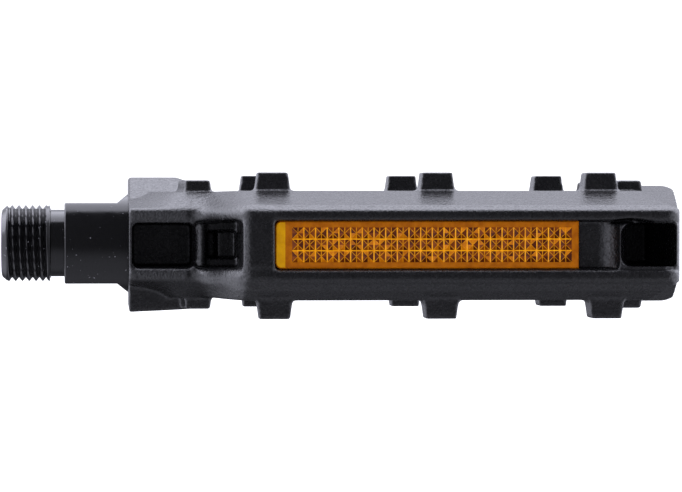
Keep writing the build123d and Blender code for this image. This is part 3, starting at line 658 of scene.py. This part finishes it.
def reflector_lens(side, name):
    """One amber reflector: a yellow tab, a plain border and a sunk field of prisms."""
    low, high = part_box("front_reflector_lens")
    x_span, z_span = (low.x / MM, high.x / MM), (low.z / MM, high.z / MM)
    front_y, back_y = low.y / MM, high.y / MM
    field_x = (x_span[0] + PRISM_MARGIN_LEFT, x_span[1] - PRISM_MARGIN_RIGHT)
    field_z = (z_span[0] + PRISM_MARGIN_TOP, z_span[1] - PRISM_MARGIN_TOP)
    mesh = bmesh.new()
    border = prism_field(mesh, field_x, field_z, front_y + PRISM_RECESS)
    rim = [mesh.verts.new((v.co.x, front_y * MM, v.co.z)) for v in border]
    bridge(mesh, border, rim)
    xs = [x_span[0] + TAB_WIDTH, x_span[0] + TAB_LINE[0], x_span[0] + TAB_LINE[1], field_x[0]]
    face_loop = add_loop(mesh, lens_outline(x_span, z_span, xs, LENS_EDGE), front_y)
    side_loop = add_loop(mesh, lens_outline(x_span, z_span, xs, 0.0), front_y + LENS_EDGE)
    back_loop = add_loop(mesh, lens_outline(x_span, z_span, xs, 0.0), back_y)
    bottoms, corner_low, corner_high, tops = face_loop[:4], face_loop[4], face_loop[5], face_loop[9:5:-1]
    across, up = 2 * PRISM_COLUMNS, 2 * PRISM_ROWS
    rim_bottom, rim_right = rim[:across + 1], rim[across:across + up + 1]
    rim_top, rim_left = rim[across + up:2 * across + up + 1], rim[2 * across + up:] + rim[:1]
    mesh.faces.new([bottoms[3], corner_low, *reversed(rim_bottom)])
    mesh.faces.new([corner_low, corner_high, *reversed(rim_right)])
    mesh.faces.new([corner_high, tops[3], *reversed(rim_top)])
    mesh.faces.new([tops[3], bottoms[3], *reversed(rim_left)])
    tab = mesh.faces.new([bottoms[0], tops[0], *face_loop[10:]])
    tab.material_index = TAB_INDEX
    for k in range(3):
        mesh.faces.new([bottoms[k], bottoms[k + 1], tops[k + 1], tops[k]])
    bridge(mesh, face_loop, side_loop)
    bridge(mesh, side_loop, back_loop)
    mesh.faces.new(back_loop)
    bmesh.ops.recalc_face_normals(mesh, faces=mesh.faces)
    if side == "rear":
        bmesh.ops.rotate(mesh, verts=mesh.verts, cent=(0, 0, 0), matrix=Matrix.Rotation(math.pi, 3, "X"))
    data = bpy.data.meshes.new(name)
    mesh.to_mesh(data)
    mesh.free()
    obj = bpy.data.objects.new(name, data)
    bpy.context.scene.collection.objects.link(obj)
    for material in LENS_MATERIALS:
        data.materials.append(material)
    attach(obj, "platform")
    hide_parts(side + "_reflector_lens")


for side in ("front", "rear"):
    reflector_lens(side, side + "_amber_reflector")


# ------------------------------------------------------------------ stage, light and camera

# the floor lies below the circle that the platform turns in, so no pose reaches into it
FLOOR_Z = -49.0 * MM
FLOOR_FLAT_R = 0.6
FLOOR_GLOW = 0.85
FLOOR_GREY = 0.3
STUDIO_RADIUS = 4.0
STUDIO_CURVE = 1.0
STUDIO_CURVE_STEPS = 12
STUDIO_HEIGHT = 1.3
STUDIO_SEGMENTS = 96


def studio(name, floor_z):
    """A round pale floor whose rim curves up into a low white wall, the same from every side."""
    profile = [(0.0, floor_z), (FLOOR_FLAT_R, floor_z), (STUDIO_RADIUS - STUDIO_CURVE, floor_z)]
    for step in range(1, STUDIO_CURVE_STEPS + 1):
        angle = math.pi / 2 * step / STUDIO_CURVE_STEPS
        profile.append((
            STUDIO_RADIUS - STUDIO_CURVE + STUDIO_CURVE * math.sin(angle),
            floor_z + STUDIO_CURVE - STUDIO_CURVE * math.cos(angle),
        ))
    profile.append((STUDIO_RADIUS, floor_z + STUDIO_HEIGHT))
    vertices = [(0.0, 0.0, floor_z)]
    for radius, z in profile[1:]:
        for segment in range(STUDIO_SEGMENTS):
            turn = 2 * math.pi * segment / STUDIO_SEGMENTS
            vertices.append((radius * math.cos(turn), radius * math.sin(turn), z))
    faces = [(0, 1 + segment, 1 + (segment + 1) % STUDIO_SEGMENTS) for segment in range(STUDIO_SEGMENTS)]
    for ring in range(len(profile) - 2):
        start = 1 + ring * STUDIO_SEGMENTS
        for segment in range(STUDIO_SEGMENTS):
            after = (segment + 1) % STUDIO_SEGMENTS
            faces.append((
                start + segment,
                start + STUDIO_SEGMENTS + segment,
                start + STUDIO_SEGMENTS + after,
                start + after,
            ))
    obj = new_object(name, vertices, faces)
    shade_smooth(obj)
    shader = Shader(name, Roughness=0.9, Specular_IOR_Level=0.0)
    shader.surface.inputs["Base Color"].default_value = (FLOOR_GREY, FLOOR_GREY, FLOOR_GREY, 1.0)
    shader.surface.inputs["Emission Color"].default_value = (1.0, 1.0, 1.0, 1.0)
    shader.surface.inputs["Emission Strength"].default_value = FLOOR_GLOW
    set_material(obj, shader.material)
    obj.visible_glossy = False


class World:
    """Light by direction, built up from smooth bands."""

    def __init__(self, name, color):
        self.world = bpy.data.worlds.new(name)
        self.world.use_nodes = True
        bpy.context.scene.world = self.world
        self.tree = self.world.node_tree
        self.background = self.tree.nodes["Background"]
        self.background.inputs["Color"].default_value = (*color, 1.0)
        self.direction = self.tree.nodes.new("ShaderNodeTexCoord").outputs["Generated"]

    def math(self, operation, *values):
        made = self.tree.nodes.new("ShaderNodeMath")
        made.operation = operation
        for value, socket in zip(values, made.inputs):
            if isinstance(value, (int, float)):
                socket.default_value = value
            else:
                self.tree.links.new(value, socket)
        return made.outputs["Value"]

    def along(self, axis):
        """How far each direction points along an axis, from -1 to 1."""
        made = self.tree.nodes.new("ShaderNodeVectorMath")
        made.operation = "DOT_PRODUCT"
        made.inputs[1].default_value = axis
        self.tree.links.new(self.direction, made.inputs[0])
        return made.outputs["Value"]

    def band(self, value, low, high, strength):
        """A smooth step from 0 up to a strength as a value passes from low to high."""
        made = self.tree.nodes.new("ShaderNodeMapRange")
        made.interpolation_type = "SMOOTHSTEP"
        made.inputs["From Min"].default_value = low
        made.inputs["From Max"].default_value = high
        made.inputs["To Min"].default_value = 0.0
        made.inputs["To Max"].default_value = strength
        self.tree.links.new(value, made.inputs["Value"])
        return made.outputs["Result"]

    def edge(self, edge, strength):
        """A band along an axis, from an edge given as the axis and its two places."""
        axis, low, high = edge
        return self.band(self.along(axis), low, high, strength)

    def light(self, bands, least):
        """The sum of all bands, with a least strength everywhere."""
        total = least
        for band in bands:
            total = self.math("ADD", band, total)
        self.tree.links.new(total, self.background.inputs["Strength"])


# each edge of a light is an axis and the two places along it, from -1 to 1, between which it fades in
BOX_LOW_EDGE = ((0, 0.97, 0.242), -0.02, 0.14)
BOX_FAR_EDGE = ((0, -0.643, 0.766), -0.22, 0.28)
BACKDROP_SIDE = ((0, 1, 0), 0.0, 0.35)
BACKDROP_FOOT = ((0, 0, 1), -0.16, 0.08)
BOUNCE_EDGE = ((0, -0.4, -0.917), 0.5, 1.0)
CARD_AXIS = (1, 0, 0)
CARD_EDGE = (0.34, 0.85)
LIGHT_TINT = (0.9, 0.91, 1.05)
BOX_STRENGTH = 3.6
BACKDROP_STRENGTH = 0.85
CARD_STRENGTH = 1.75
BOUNCE_STRENGTH = 0.4
LEAST_STRENGTH = 0.12


def studio_light():
    """A softbox above and behind, a pale backdrop, a card at each side and the table's bounce."""
    world = World("studio_light", LIGHT_TINT)
    sideways = world.math("ABSOLUTE", world.along(CARD_AXIS))
    box_front = world.edge(BOX_LOW_EDGE, BOX_STRENGTH)
    box_back = world.edge(BOX_FAR_EDGE, 1.0)
    box = world.math("MULTIPLY", box_front, box_back)
    backdrop_front = world.edge(BACKDROP_SIDE, BACKDROP_STRENGTH)
    backdrop_foot = world.edge(BACKDROP_FOOT, 1.0)
    backdrop = world.math("MULTIPLY", backdrop_front, backdrop_foot)
    cards = world.band(sideways, *CARD_EDGE, CARD_STRENGTH)
    bounce = world.edge(BOUNCE_EDGE, BOUNCE_STRENGTH)
    world.light([box, backdrop, cards, bounce], LEAST_STRENGTH)


studio("studio_floor", FLOOR_Z)
studio_light()

# the camera looks roughly along +Y from in front of the pedal; its angles are in radians
CAMERA_PLACE = (8.61 * MM, -624.4 * MM, 7.34 * MM)
CAMERA_DOWN = 0.0127
CAMERA_TURN = 0.0695
LENS_LENGTH = 174.6
SENSOR_WIDTH = 36.0
NEAREST = 0.01
FARTHEST = 50.0
camera_data = bpy.data.cameras.new("camera")
camera_data.sensor_width = SENSOR_WIDTH
camera_data.lens = LENS_LENGTH
camera_data.clip_start = NEAREST
camera_data.clip_end = FARTHEST
camera = bpy.data.objects.new("camera", camera_data)
camera.location = CAMERA_PLACE
camera.rotation_euler = (math.pi / 2 - CAMERA_DOWN, 0.0, -CAMERA_TURN)
bpy.context.scene.collection.objects.link(camera)
bpy.context.scene.camera = camera

bpy.context.scene.view_settings.view_transform = "Standard"
